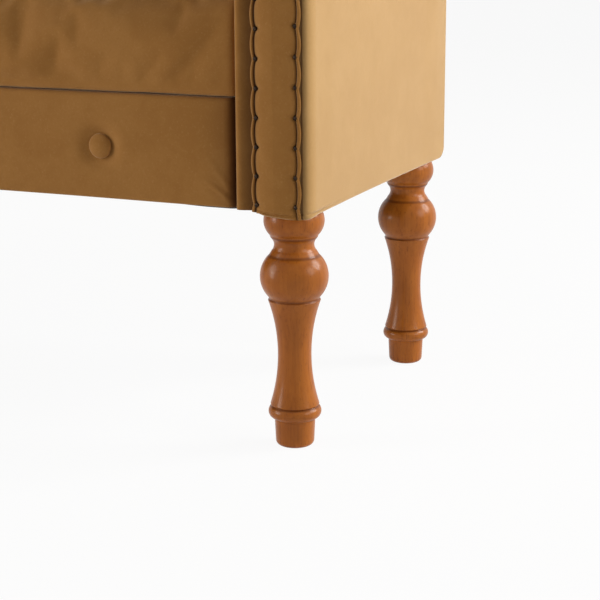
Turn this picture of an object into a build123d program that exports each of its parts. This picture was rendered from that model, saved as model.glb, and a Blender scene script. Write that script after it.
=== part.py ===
from build123d import *
import os
from math import atan, atan2, cos, degrees, pi, sin, sqrt

# Entry bench: a buttoned seat between two slim rolled arms, on four turned legs.
# Millimetres, X along the bench, front towards -Y, Z up, origin on the floor at the middle.

# Overall sizes
length = 1200.0
depth = 412.0
leg_height = 230.0
arm_height = 640.0
arm_width = 66.0
roll_radius = 60.0

# Covers and padding
cover = 2.0
arm_padding = 18.0
roll_padding = 8.0
facing_depth = 4.0
hem_depth = 1.6
backing = 2.0
fit = 0.4

# Wooden frame
board = 22.0
rail = 22.0
rail_top = 330.0
rail_rise = 5.0
block_across = 50.0
block_along = 47.0
inner_panel = 4.0
top_rail_side = 40.0
batten_side = 20.0
stretcher_height = 60.0
stretcher_drop = 8.0
stretcher_place = 180.0

# Legs: places from the bench's outer faces to the leg's axis, and drops from the leg's top
leg_from_side = 28.7
leg_from_front = 51.5
leg_from_back = 43.6
foot_radius = 18.5
foot_top_radius = 19.5
foot_top = 27.0
foot_edge = 3.6
ring_radius = 25.4
ring_z = 34.0
flare_radius = 23.5
flare_z = 41.0
waist_radius = 16.0
waist_drop = 139.6
shoulder_radius = 25.0
shoulder_drop = 86.7
groove = 1.3
bulb_radius = 32.4
bulb_drop = 64.0
bulb_half_height = 19.0
cove_radius = 21.2
cove_drop = 39.6
neck_radius = 18.9
neck_drop = 33.9
neck_rise = 4.8
bead_radius = 28.6
bead_drop = 11.4
bead_foot_radius = 22.2
bead_foot_drop = 26.6
bead_top_radius = 25.2
bead_step = 0.7
bead_step_rise = 2.2

# Leg fixing
bolt_radius = 4.0
bolt_in_leg = 45.0
bolt_in_block = 40.0
insert_radius = 6.0
insert_height = 20.0
thread_fit = 0.1

# Seat webbing, its cloth and the cloth under the bench
strap = 2.0
strap_width = 50.0
strap_wave = 1.2
strap_ramp = 12.0
strap_margin = 3.0
cross_straps = 7
cross_pitch = 150.0
long_straps = 3
long_pitch = 85.0
cloth = 1.0
dust_overlap = 10.0

# Seat: edge height, crown and how far its front swells
seat_edge = 410.0
seat_round = 24.0
seat_crown = 14.0
seat_swell = 6.0
seat_set_back = 16.0

# Border between the arm fronts
border_set_back = 18.0
border_hem = 48.0
border_edge_round = 1.6

# Covered buttons and the dimples that they draw in
button_radius = 12.0
button_height = 7.0
button_rim = 1.2
shank_radius = 2.0
shank_fit = 0.2
border_shank = 22.0
seat_shank = 32.0
button_pitch = 192.5
border_buttons_across = 5
border_button_z = 282.8
seat_rows = 3
seat_row_pitch = 112.0
seat_dimple_radius = 46.0
seat_dimple = 13.0
border_dimple_radius = 34.0
border_dimple = 4.0
dimple_floor = 12.6

# Nailed facing on the arm front
facing_width = 48.3
facing_from_side = 0.7
facing_head_margin = 10.0
facing_rise = 1.0
nail_inset = 4.8
nail_first = 9.5
nail_pitch = 27.0
nail_head_radius = 2.4
nail_head_height = 1.9
nail_shank_radius = 0.8
nail_length = 13.0
hem_pinch = 2.0
hem_swell = 4.3
panel_inset = 2.6
panel_round = 2.0
return_overlap = 12.0
arm_front_round = 5.0
side_front_round = 12.0
rear_corner_round = 15.0

# Screws from the arm boards into the leg blocks
screw_radius = 2.0
screw_head_radius = 4.0
screw_head = 2.5
screw_length = 45.0
screw_spread = 8.0
screw_low = 282.0
screw_high = 306.0

# Places worked out from the sizes
side = length / 2
front = -depth / 2
back = depth / 2
return_front = front + facing_depth
board_front = return_front + cover
post_front = board_front + board
board_back = back - facing_depth
post_back = board_back - board
frame_side = side - cover - backing
stem_inner = side - arm_width + cover + arm_padding
arm_inner = side - arm_width
roll_x = arm_inner + roll_radius
roll_z = arm_height - roll_radius
core_radius = roll_radius - cover - roll_padding
under = leg_height + cover
rail_bottom = leg_height + rail_rise
block_inner = frame_side - block_across
leg_x = side - leg_from_side
leg_front_y = front + leg_from_front
leg_back_y = back - leg_from_back
waist_z = leg_height - waist_drop
shoulder_z = leg_height - shoulder_drop
bulb_z = leg_height - bulb_drop
neck_z = leg_height - neck_drop
cove_z = leg_height - cove_drop
bead_z = leg_height - bead_drop
bead_foot_z = leg_height - bead_foot_drop
strap_z = rail_top + strap / 2
cloth_bottom = strap_z + strap_wave + strap / 2 + fit / 2
arm_foot = cloth_bottom + cloth
seat_bottom = arm_foot
seat_side = arm_inner - fit
seat_front = front + seat_set_back
seat_back = -seat_front
border_front = front + border_set_back
turn_x = side - side_front_round
turn_y = return_front + side_front_round

os.makedirs("parts", exist_ok=True)
corner = (Align.MIN, Align.MIN, Align.MIN)


def save(name, *solids):
    shape = solids[0] if len(solids) == 1 else Compound(children=list(solids))
    export_step(shape, f"parts/{name}.step")


def save_pair(name, *right):
    save(f"{name}_right", *right)
    save(f"{name}_left", *[mirror(solid, about=Plane.YZ) for solid in right])


def block(x, y, z):
    return Pos(x[0], y[0], z[0]) * Box(x[1] - x[0], y[1] - y[0], z[1] - z[0], align=corner)


def slab(outline, y):
    # A flat outline in X and Z, as thick as the span in Y
    return extrude(Plane.XZ.offset(-y[1]) * outline, y[1] - y[0])


def slab_across(outline, x):
    # A flat outline in Y and Z, as thick as the span in X
    return extrude(Plane.YZ.offset(x[0]) * outline, x[1] - x[0])


def turned(outline):
    # An outline of radius and height, turned round Z
    return revolve(Plane.XZ * make_face(outline), Axis.Z)


def facing_front(x, y, z, solid):
    # A piece made along Z, turned so that its top looks to the front
    return Pos(x, y, z) * Rot(90, 0, 0) * solid


def drop(radius, across):
    return sqrt(max(radius**2 - across**2, 0.0))


def arm_outline(inner, outer, radius, bottom):
    # The arm seen from the front: a stem with a roll on top that leans outwards
    low_inner = (inner, roll_z - drop(radius, roll_x - inner))
    low_outer = (outer, roll_z - drop(radius, outer - roll_x))
    crown = (roll_x, roll_z + radius)
    edge = Line((inner, bottom), low_inner)
    edge += ThreePointArc(low_inner, crown, low_outer)
    edge += Polyline(low_outer, (outer, bottom), (inner, bottom))
    return make_face(edge)


# Turned legs with their bolts
def leg():
    edge = Line((0, 0), (foot_radius - foot_edge, 0))
    edge += TangentArc((foot_radius - foot_edge, 0), (foot_radius, foot_edge), tangent=(1, 0))
    edge += Line((foot_radius, foot_edge), (foot_top_radius, foot_top))
    ring_top = (flare_radius - groove, flare_z - groove)
    edge += ThreePointArc((foot_top_radius, foot_top), (ring_radius, ring_z), ring_top)
    edge += Line(ring_top, (flare_radius, flare_z))
    edge += TangentArc((waist_radius, waist_z), (flare_radius, flare_z), tangent=(0, -1))
    edge += TangentArc((waist_radius, waist_z), (shoulder_radius, shoulder_z), tangent=(0, 1))
    bulb_foot = (shoulder_radius, bulb_z - bulb_half_height)
    bulb_top = (shoulder_radius, bulb_z + bulb_half_height)
    cut = shoulder_radius - groove
    edge += Polyline((shoulder_radius, shoulder_z), (cut, shoulder_z + groove), bulb_foot)
    edge += ThreePointArc(bulb_foot, (bulb_radius, bulb_z), bulb_top)
    neck_foot = (cut, bulb_z + bulb_half_height + groove)
    neck_top = (neck_radius + groove, neck_z + neck_rise)
    bead_foot = (bead_foot_radius, bead_foot_z)
    bead_top = (bead_top_radius, leg_height)
    cove_foot = (cove_radius, cove_z)
    step_top = (bead_foot_radius + bead_step, bead_foot_z + bead_step_rise)
    edge += Polyline(bulb_top, neck_foot, cove_foot)
    edge += ThreePointArc(cove_foot, (neck_radius, neck_z), neck_top)
    edge += Polyline(neck_top, bead_foot, step_top)
    edge += ThreePointArc(step_top, (bead_radius, bead_z), bead_top)
    edge += Polyline(bead_top, (0, leg_height), (0, 0))
    hole = Pos(0, 0, leg_height) * Cylinder(bolt_radius + thread_fit, 2 * bolt_in_leg)
    return turned(edge) - hole


bolt = Pos(0, 0, leg_height - bolt_in_leg) * Cylinder(
    bolt_radius, bolt_in_leg + bolt_in_block, align=(Align.CENTER, Align.CENTER, Align.MIN)
)
sleeve_outer = Cylinder(insert_radius, insert_height, align=(Align.CENTER, Align.CENTER, Align.MIN))
sleeve = Pos(0, 0, leg_height) * (sleeve_outer - Cylinder(bolt_radius + thread_fit, 4 * insert_height))
sleeve_hole = Cylinder(insert_radius + thread_fit, 2 * insert_height)
block_hole = Pos(0, 0, leg_height) * (sleeve_hole + Cylinder(bolt_radius + thread_fit, 2 * bolt_in_block))
corners = {
    "front_left": (-leg_x, leg_front_y),
    "front_right": (leg_x, leg_front_y),
    "rear_left": (-leg_x, leg_back_y),
    "rear_right": (leg_x, leg_back_y),
}
one_leg = leg()
for name, (x, y) in corners.items():
    save(f"leg_{name}", Pos(x, y, 0) * one_leg)
save("leg_hanger_bolts", *[Pos(x, y, 0) * bolt for x, y in corners.values()])
save("leg_inserts", *[Pos(x, y, 0) * sleeve for x, y in corners.values()])


# Covered buttons, and the dimple that each one draws in
def button(shank):
    edge = Line((0, -shank), (shank_radius, -shank))
    edge += Polyline((shank_radius, -shank), (shank_radius, 0), (button_radius - button_rim, 0))
    edge += Line((button_radius - button_rim, 0), (button_radius, button_rim))
    edge += TangentArc((0, button_height), (button_radius, button_rim), tangent=(1, 0))
    edge += Line((0, button_height), (0, -shank))
    return turned(edge)


def dimple(radius, deep, shank, grown):
    # Hollow round a button, with the shank's hole. It is grown by a cover's thickness for the padding.
    rim, floor, hole = radius + grown, dimple_floor + grown, shank_radius + shank_fit
    above = button_height + deep
    end = grown - deep - shank - fit
    edge = TangentArc((rim, 0), (floor, -deep), tangent=(-1, 0))
    edge += Polyline((floor, -deep), (hole, -deep), (hole, end), (0, end))
    edge += Polyline((0, end), (0, above), (rim, above), (rim, 0))
    return turned(edge)


# Seat frame
middle = (border_buttons_across - 1) / 2
border_button_xs = [(i - middle) * button_pitch for i in range(border_buttons_across)]
border_cut = dimple(border_dimple_radius, border_dimple, border_shank, 0)
border_cuts = [facing_front(x, border_front, border_button_z, border_cut) for x in border_button_xs]
rail_z = (rail_bottom, rail_top)
front_rail_y = (post_front, post_front + rail)
back_rail_y = (post_back - rail, post_back)
end_rail_y = (post_front + block_along, post_back - block_along)
save("front_rail", block((-block_inner, block_inner), front_rail_y, rail_z) - border_cuts)
save("back_rail", block((-block_inner, block_inner), back_rail_y, rail_z))
end_rail = block((frame_side - rail, frame_side), end_rail_y, (under + cover / 2, rail_top))
save("right_end_rail", end_rail)
save("left_end_rail", mirror(end_rail, about=Plane.YZ))
stretcher = block(
    (-rail / 2, rail / 2),
    (front_rail_y[1], back_rail_y[0]),
    (rail_top - stretcher_drop - stretcher_height, rail_top - stretcher_drop),
)
save("seat_stretchers", *[Pos(x, 0, 0) * stretcher for x in (-stretcher_place, stretcher_place)])

# Leg blocks and the screws that hold the arm boards to them
front_block_y = (post_front, post_front + block_along)
rear_block_y = (post_back - block_along, post_back)
stem_middle = (stem_inner + frame_side) / 2
screw_edge = Polyline((0, -screw_length), (screw_radius, -screw_length), (screw_radius, -screw_head))
screw_edge += Polyline((screw_radius, -screw_head), (screw_head_radius, 0), (0, 0), (0, -screw_length))
screw = turned(screw_edge)
screw_places = [(stem_middle - screw_spread, screw_low), (stem_middle + screw_spread, screw_high)]
front_screws = [facing_front(x, board_front, z, screw) for x, z in screw_places]
rear_screws = [Pos(x, board_back, z) * Rot(-90, 0, 0) * screw for x, z in screw_places]
right_screws = front_screws + rear_screws
save("arm_board_screws", *right_screws, *[mirror(one, about=Plane.YZ) for one in right_screws])
for place, y_span, screws in (("front", front_block_y, front_screws), ("rear", rear_block_y, rear_screws)):
    y_leg = leg_front_y if place == "front" else leg_back_y
    post = block((block_inner, frame_side), y_span, (leg_height, rail_top))
    post = post - Pos(leg_x, y_leg, 0) * block_hole - screws
    save(f"leg_block_{place}_right", post)
    save(f"leg_block_{place}_left", mirror(post, about=Plane.YZ))


# Seat webbing, woven over and under
def woven(ends, crossings, first):
    # Middle line of one strap: flat at its ends, up or down by the wave where it crosses another
    line = [(ends[0], 0.0)]
    for i, place in enumerate(crossings):
        rise = strap_wave * first * (-1) ** i
        flat = strap_width / 2 + strap_margin
        line += [(place - flat - strap_ramp, 0.0), (place - flat, rise)]
        line += [(place + flat, rise), (place + flat + strap_ramp, 0.0)]
    line.append((ends[1], 0.0))
    top = [(s, strap_z + h + strap / 2) for s, h in line]
    bottom = [(s, strap_z + h - strap / 2) for s, h in reversed(line)]
    return make_face(Polyline(*top, *bottom, close=True))


cross_xs = [(i - (cross_straps - 1) / 2) * cross_pitch for i in range(cross_straps)]
long_ys = [(i - (long_straps - 1) / 2) * long_pitch for i in range(long_straps)]
strap_y = (post_front + strap_margin, post_back - strap_margin)
strap_x = frame_side - strap_margin
cross = []
for i, x in enumerate(cross_xs):
    outline = woven(strap_y, long_ys, (-1) ** i)
    cross.append(slab_across(outline, (x - strap_width / 2, x + strap_width / 2)))
along = []
for i, y in enumerate(long_ys):
    outline = woven((-strap_x, strap_x), cross_xs, -((-1) ** i))
    along.append(slab(outline, (y - strap_width / 2, y + strap_width / 2)))
save("webbing_cross_straps", *cross)
save("webbing_long_straps", *along)
cloth_x = frame_side - rail / 2
save("platform_cloth", block((-cloth_x, cloth_x), strap_y, (cloth_bottom, cloth_bottom + cloth)))


# Border and back: padding and cover between the arms, with a hem under the rail
border_depth = post_front - border_front
border_top = seat_bottom - fit


def border(dimples, padding_dimples):
    # Made with the rail's face at Y 0, looking to the front
    x_span = (-seat_side, seat_side)
    outer = block(x_span, (-border_depth, 0), (rail_bottom - cover, border_top))
    low_edge = outer.edges().filter_by(Axis.X).group_by(Axis.Z)[0].sort_by(Axis.Y)[0]
    outer = fillet(low_edge, min(border_edge_round, cover))
    inner = block(x_span, (cover - border_depth, 0), (rail_bottom, border_top))
    hem = block(x_span, (0, border_hem - border_depth), (rail_bottom - cover, rail_bottom))
    padding = inner - padding_dimples if padding_dimples else inner
    face = outer - dimples if dimples else outer
    return padding, face - padding + hem


padding_cut = dimple(border_dimple_radius, border_dimple, border_shank, cover)
face_cuts = [facing_front(x, -border_depth, border_button_z, border_cut) for x in border_button_xs]
padding_cuts = [
    facing_front(x, cover - border_depth, border_button_z, padding_cut) for x in border_button_xs
]
border_padding, border_face = border(face_cuts, padding_cuts)
save("border_pad", Pos(0, post_front, 0) * border_padding)
save("border_cover", Pos(0, post_front, 0) * border_face)
border_button = button(border_shank)
button_y = border_front + border_dimple
save("border_buttons", *[facing_front(x, button_y, border_button_z, border_button) for x in border_button_xs])
back_padding, back_face = border([], [])
to_back = Pos(0, post_back, 0) * Rot(0, 0, 180)
save("back_pad", to_back * back_padding)
save("back_cover", to_back * back_face)
dust_y = (border_front + border_hem - dust_overlap, post_back + border_depth - border_hem + dust_overlap)
dust_z = (rail_bottom - cover - cloth, rail_bottom - cover)
dust_side = frame_side - rail - fit
dust = block((-dust_side, dust_side), (end_rail_y[0] + fit, end_rail_y[1] - fit), dust_z)
dust += block((fit - block_inner, block_inner - fit), dust_y, dust_z)
save("dust_cover", dust)


# Seat: crowned, with a swelling front edge, drawn in by its buttons
def seat_body(inset):
    # A cross-section of arcs, carried from arm to arm
    low_front, low_back = seat_front + inset, seat_back - inset
    edge_z = seat_edge - inset
    top_z = edge_z + seat_round
    half_z = (seat_bottom + edge_z) / 2
    reach = seat_round * (1 - sqrt(0.5))
    front_edge, back_edge = (low_front, edge_z), (low_back, edge_z)
    front_top, back_top = (low_front + seat_round, top_z), (low_back - seat_round, top_z)
    edge = ThreePointArc((low_front, seat_bottom), (low_front - seat_swell, half_z), front_edge)
    edge += ThreePointArc(front_edge, (low_front + reach, top_z - reach), front_top)
    edge += ThreePointArc(front_top, (0, top_z + seat_crown), back_top)
    edge += ThreePointArc(back_top, (low_back - reach, top_z - reach), back_edge)
    edge += ThreePointArc(back_edge, (low_back + seat_swell, half_z), (low_back, seat_bottom))
    edge += Line((low_back, seat_bottom), (low_front, seat_bottom))
    end = seat_side - inset
    return slab_across(make_face(edge), (-end, end))


def on_seat(x, y, lowered, solid):
    # Set on the crown, square to its slope
    half_top = seat_back - seat_round
    height = seat_edge + seat_round + seat_crown * (1 - (y / half_top) ** 2)
    slope = degrees(atan(-2 * seat_crown * y / half_top**2))
    return Pos(x, y, height) * Rot(slope, 0, 0) * Pos(0, 0, -lowered) * solid


seat_places = []
for row in range(seat_rows):
    y = (row - (seat_rows - 1) / 2) * seat_row_pitch
    shift = 0.5 * (row % 2)
    for i in range(border_buttons_across - row % 2):
        seat_places.append(((i - middle + shift) * button_pitch, y))
seat_cut = dimple(seat_dimple_radius, seat_dimple, seat_shank, 0)
foam_cut = dimple(seat_dimple_radius, seat_dimple, seat_shank, cover)
seat_cuts = [on_seat(x, y, 0, seat_cut) for x, y in seat_places]
foam_cuts = [on_seat(x, y, cover, foam_cut) for x, y in seat_places]
seat_button = button(seat_shank)
seat_foam = seat_body(cover) - foam_cuts
save("seat_foam", seat_foam)
save("seat_cover", seat_body(0) - seat_cuts - seat_foam)
save("seat_buttons", *[on_seat(x, y, seat_dimple, seat_button) for x, y in seat_places])

# Arm: facing and nail line
facing_outer = side - facing_from_side
facing_inner = facing_outer - facing_width
facing_bottom = leg_height + facing_rise
head_radius = roll_radius - facing_head_margin
nail_inner = facing_inner + nail_inset
nail_outer = facing_outer - nail_inset
nail_radius = head_radius - nail_inset
nail_low = facing_bottom + nail_first
join_inner = roll_z - drop(nail_radius, roll_x - nail_inner)
join_outer = roll_z - drop(nail_radius, nail_outer - roll_x)
first_angle = atan2(join_inner - roll_z, nail_inner - roll_x)
last_angle = atan2(join_outer - roll_z, nail_outer - roll_x)
sweep = 2 * pi + first_angle - last_angle
inner_steps = max(1, round((join_inner - nail_low) / nail_pitch))
head_steps = max(3, round(sweep * nail_radius / nail_pitch))
outer_steps = max(1, round((join_outer - nail_low) / nail_pitch))
nail_steps = inner_steps + head_steps + outer_steps


def nail_line(step, out):
    # Point on the nail line, moved out from it: up the inner edge, round the roll and down the outer edge
    if step < inner_steps:
        return (nail_inner - out, nail_low + (join_inner - nail_low) * step / inner_steps)
    if step <= inner_steps + head_steps:
        angle = first_angle - sweep * (step - inner_steps) / head_steps
        return (roll_x + (nail_radius + out) * cos(angle), roll_z + (nail_radius + out) * sin(angle))
    down = (step - inner_steps - head_steps) / outer_steps
    return (nail_outer + out, join_outer + (nail_low - join_outer) * down)


# The hem swells out between the nails and is pinched at each one
facing_foot = [(facing_outer, facing_bottom), (facing_inner, facing_bottom)]
hem_edge = Polyline(nail_line(nail_steps, hem_pinch), *facing_foot, nail_line(0, hem_pinch))
for step in range(nail_steps):
    hem_edge += ThreePointArc(
        nail_line(step, hem_pinch), nail_line(step + 0.5, hem_swell), nail_line(step + 1, hem_pinch)
    )
hem_front = return_front - hem_depth
nail_edge = Polyline((0, -nail_length), (nail_shank_radius, -nail_length), (nail_shank_radius, 0))
nail_edge += Line((nail_shank_radius, 0), (nail_head_radius, 0))
nail_edge += TangentArc((0, nail_head_height), (nail_head_radius, 0), tangent=(1, 0))
nail_edge += Line((0, nail_head_height), (0, -nail_length))
nail = turned(nail_edge)
nails = []
nail_holes = []
for step in range(nail_steps + 1):
    x, z = nail_line(step, 0)
    nails.append(facing_front(x, hem_front, z, nail))
    nail_holes.append(facing_front(x, hem_front, z, Cylinder(nail_shank_radius, 2 * nail_length)))
save_pair("facing_nails", *nails)

panel_x = (nail_inner + panel_inset, nail_outer - panel_inset)
panel_outline = arm_outline(*panel_x, nail_radius - panel_inset, facing_bottom)
raised = slab(panel_outline, (front, hem_front))
raised = fillet(raised.faces().sort_by(Axis.Y)[0].edges(), min(panel_round, 0.9 * (hem_front - front)))
facing = slab(make_face(hem_edge), (hem_front, return_front)) + raised
save_pair("front_facing", facing - nail_holes)

# Arm: its lower rear edge, rounded under the cover
low_fold = under - cover / 2
rear_z = low_fold + rear_corner_round
rear_round = rear_z - under
rear_y = board_back - rear_round


def rear_roller(radius):
    return slab_across(Pos(rear_y, rear_z) * Circle(radius), (0, 2 * side))


rear_edge = block((0, 2 * side), (rear_y, back), (0, rear_z)) - rear_roller(rear_round)

# Arm: cut boards at its ends and what joins them. The front one's outer edge is eased under the cover.
board_outline = arm_outline(stem_inner, frame_side, core_radius, under)
eased = side_front_round - cover - backing
corner_post = Pos(frame_side - eased, board_front + eased, 0) * Cylinder(eased, 4 * arm_height)
board_edge = block((frame_side - eased, frame_side), (board_front, board_front + eased), (under, roll_z))
board_edge = board_edge - corner_post - slab(Pos(roll_x, roll_z) * Circle(core_radius), (front, back))
front_board = slab(board_outline, (board_front, post_front)) - board_edge
rear_board = slab(board_outline, (post_back, board_back)) - rear_edge
save_pair("arm_front_board", front_board - nail_holes - front_screws)
save_pair("arm_rear_board", rear_board - rear_screws)
between = (post_front, post_back)
half_rail = top_rail_side / 2
top_rail_x = (roll_x - half_rail, roll_x + half_rail)
save_pair("arm_top_rail", block(top_rail_x, between, (roll_z - half_rail, roll_z + half_rail)))
batten_top = roll_z - roll_radius
batten_x = (frame_side - batten_side, frame_side)
save_pair("arm_tack_batten", block(batten_x, between, (batten_top - batten_side, batten_top)))
panel_top = roll_z - drop(core_radius, roll_x - stem_inner)
save_pair("arm_inner_panel", block((stem_inner, stem_inner + inner_panel), between, (arm_foot, panel_top)))

# Arm: padding and cover over the inner side, the roll and the front return
overlap = 1.0


def arm_body(inset, end):
    inner_x = arm_inner + inset
    radius = roll_radius - inset
    low = under + cover / 2
    y_front = return_front + inset
    body = slab(arm_outline(inner_x, frame_side, radius, arm_foot), (y_front, end))
    body += block((inner_x, frame_side), (y_front, post_front), (low, arm_foot + overlap))
    body += block((inner_x, frame_side), (post_back, end), (low, arm_foot + overlap))
    front_edges = body.faces().sort_by(Axis.Y)[0].edges()
    shown = [e for e in front_edges if e.center().X < frame_side - overlap and e.center().Z > low + overlap]
    return fillet(shown, arm_front_round - inset)


arm_filling = arm_body(cover, board_back) - rear_edge
arm_hollow = slab(board_outline, (board_front, board_back))
save_pair("arm_foam", arm_filling - arm_hollow)
opening = arm_outline(facing_inner + return_overlap, frame_side, head_radius - return_overlap, under)
arm_skin = arm_body(0, board_back) - rear_edge - arm_filling - slab(opening, (return_front, board_front))
save_pair("arm_cover", arm_skin - nail_holes)

# Arm: flat outer side with its backing, and the plain panel that closes the rear
roll_end = Pos(roll_x, roll_z) * Circle(roll_radius)


def outer_side(x, bottom):
    # A strip as wide as the span in X, from the bottom up to the roll's underside
    strip = Pos(x[0], bottom) * Rectangle(x[1] - x[0], roll_z - bottom, align=(Align.MIN, Align.MIN))
    return strip - roll_end


side_low = under + cover / 2
side_board = slab(outer_side((frame_side, frame_side + backing), side_low), (turn_y, board_back))
save_pair("arm_outer_board", side_board - rear_edge)
turn = Circle(side_front_round) - Circle(side_front_round - cover)
turn = turn & Rectangle(side_front_round, side_front_round, align=(Align.MIN, Align.MAX))
plan = Pos(turn_x, turn_y) * turn
plan += Pos(side - cover, turn_y) * Rectangle(cover, board_back - turn_y, align=(Align.MIN, Align.MIN))
side_cover = extrude(Plane.XY.offset(low_fold) * plan, roll_z - low_fold) - slab(roll_end, (front, back))
back_low = side_cover.edges().filter_by(Axis.X).group_by(Axis.Z)[0].sort_by(Axis.Y)[-1]
side_cover = fillet(back_low, rear_corner_round)
side_hem = block((frame_side - rail, side), end_rail_y, (low_fold, side_low))
save_pair("outer_arm_cover", side_cover + side_hem - nail_holes)
rear_outline = arm_outline(arm_inner + fit, side - fit, roll_radius - fit, rear_z)
rear_panel = slab(rear_outline, (board_back, back))
rear_panel = fillet(rear_panel.faces().sort_by(Axis.Y)[-1].edges(), facing_depth * 0.6)
tail = rear_roller(rear_round + cover) - rear_roller(rear_round)
tail = tail & block((arm_inner + fit, side - cover - fit), (rear_y, back), (0, rear_z))
save_pair("rear_facing", rear_panel + tail)
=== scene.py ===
import math

import bmesh
import bpy
import numpy as np
from mathutils import Matrix, Vector


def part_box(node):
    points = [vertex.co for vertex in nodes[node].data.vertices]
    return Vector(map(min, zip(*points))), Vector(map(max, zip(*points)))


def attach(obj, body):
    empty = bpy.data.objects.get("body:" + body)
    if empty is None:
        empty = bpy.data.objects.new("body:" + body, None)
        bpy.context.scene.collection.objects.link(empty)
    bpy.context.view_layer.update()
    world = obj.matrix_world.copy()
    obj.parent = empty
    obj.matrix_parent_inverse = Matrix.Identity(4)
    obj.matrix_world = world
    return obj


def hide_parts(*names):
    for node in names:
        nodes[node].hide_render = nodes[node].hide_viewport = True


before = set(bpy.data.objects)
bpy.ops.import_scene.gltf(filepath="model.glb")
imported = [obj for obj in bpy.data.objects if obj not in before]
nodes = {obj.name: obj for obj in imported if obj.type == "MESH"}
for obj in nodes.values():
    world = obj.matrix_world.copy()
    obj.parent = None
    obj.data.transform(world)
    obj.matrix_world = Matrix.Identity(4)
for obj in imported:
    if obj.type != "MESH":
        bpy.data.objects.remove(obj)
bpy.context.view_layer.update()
mm = 0.001
sharpAngle = 50.0
print("frame:", len(nodes), "nodes")


def corners(node):
    # a node's lowest and highest corner in millimetres
    return [np.round(np.array(corner) / mm, 3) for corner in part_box(node)]


# Places that several pieces share, in millimetres, from the frame's covers, rails and boards
armLow, _ = corners("arm_cover_right")
sideLow, sideHigh = corners("outer_arm_cover_right")
bench = {
    "side": sideHigh[0],
    "bottom": sideLow[2],
    "armInner": armLow[0],
    "returnFront": armLow[1],
    "railFace": corners("front_rail")[0][1] - 0.3,
    "railFront": corners("front_rail")[0][1],
    "railBack": corners("back_rail")[1][1],
    "boardBack": corners("arm_rear_board_right")[1][1],
    "rollRadius": 60.0,
    "rollZ": 580.0,
}
rollX, rollZ = bench["armInner"] + bench["rollRadius"], bench["rollZ"]


def smooth(low, high, value):
    # soft step from 0 to 1 between low and high
    t = np.clip((value - low) / (high - low), 0.0, 1.0)
    return t * t * (3.0 - 2.0 * t)


def bell(distance, width):
    # 1 at no distance, falling to either side as a bell
    return np.exp(-((distance / width) ** 2))


def spread(*axes):
    # points from their coordinates, each carried over the shape that all share
    return np.stack(np.broadcast_arrays(*axes), -1)


def quarterTurn(count):
    # even angles over a quarter of a circle
    return np.linspace(0, np.pi / 2, count)


def quads(rows, cols, closed=False):
    # corner numbers of each quad of a grid of points, whose rows may close on themselves
    i = np.arange(rows - 1)[:, None]
    j = np.arange(cols if closed else cols - 1)[None, :]
    nextJ = (j + 1) % cols
    numbers = [i * cols + j, (i + 1) * cols + j, (i + 1) * cols + nextJ, i * cols + nextJ]
    return spread(*numbers).reshape(-1, 4)


def tube(points):
    # a grid of closed loops, one loop a row, with a lid on the first and last
    rows, cols = points.shape[:2]
    lids = [list(range(cols)), list(range((rows - 1) * cols, rows * cols))]
    return points.reshape(-1, 3), quads(rows, cols, closed=True).tolist() + lids


def copies(part, turns, places):
    # the same shape turned and set down at every place
    points, faces = part
    moved = np.einsum("kij,nj->kni", turns, points) + places[:, None, :]
    shift = (np.arange(len(places)) * len(points))[:, None, None]
    return moved.reshape(-1, 3), (np.array(faces)[None] + shift).reshape(-1, 4).tolist()


def lathe(profile, segments):
    # radius and height carried round Z
    angle = np.linspace(0, 2 * np.pi, segments, endpoint=False)
    radius, height = profile[:, 0, None], profile[:, 1, None]
    grid = spread(radius * np.cos(angle), radius * np.sin(angle), height)
    return grid.reshape(-1, 3), quads(len(profile), segments, closed=True).tolist()


def addPiece(name, parts, material, stands, mirrored=False, shade=None):
    # joins the parts, closes their seams, turns the faces outwards and seats the piece on the body
    points, faces, start = [], [], 0
    for partPoints, partFaces in parts:
        points.append(partPoints * ((-1, 1, 1) if mirrored else (1, 1, 1)))
        faces += [[c + start for c in face] for face in partFaces]
        start += len(partPoints)
    mesh = bpy.data.meshes.new(name)
    mesh.from_pydata(np.concatenate(points) * mm, [], faces)
    # painted shade, one value a point, is kept as the shade attribute that the suede darkens by
    if shade is not None:
        depth = np.zeros(start, np.float32)
        depth[: shade.size] = shade.ravel()
        mesh.attributes.new("shade", "FLOAT", "POINT").data.foreach_set("value", depth)
    shape = bmesh.new()
    shape.from_mesh(mesh)
    bmesh.ops.remove_doubles(shape, verts=shape.verts, dist=2e-6)
    bmesh.ops.dissolve_degenerate(shape, edges=shape.edges, dist=1e-6)
    bmesh.ops.recalc_face_normals(shape, faces=shape.faces)
    shape.to_mesh(mesh)
    shape.free()
    mesh.polygons.foreach_set("use_smooth", np.ones(len(mesh.polygons), bool))
    mesh.set_sharp_from_angle(angle=math.radians(sharpAngle))
    mesh.materials.append(material)
    piece = bpy.data.objects.new(name, mesh)
    bpy.context.scene.collection.objects.link(piece)
    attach(piece, "root")
    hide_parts(*stands)
    return piece


def addPair(name, parts, material, stands, shade=None):
    # the right piece and its mirror image on the left
    for sideName in ("right", "left"):
        there = [f"{node}_{sideName}" for node in stands]
        piece = addPiece(f"{name}_{sideName}", parts, material, there, sideName == "left", shade)


# Shader values: an expression on them adds Math nodes
class Value:
    def __init__(self, graph, socket):
        self.graph, self.socket = graph, socket

    def maths(self, operation, other=0.0):
        return self.graph.node("ShaderNodeMath", {"operation": operation}, {0: self, 1: other})

    def __add__(self, other):
        return self.maths("ADD", other)

    __radd__ = __add__

    def __mul__(self, other):
        return self.maths("MULTIPLY", other)

    def __sub__(self, other):
        return self.maths("SUBTRACT", other)

    def __abs__(self):
        return self.maths("ABSOLUTE")


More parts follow.
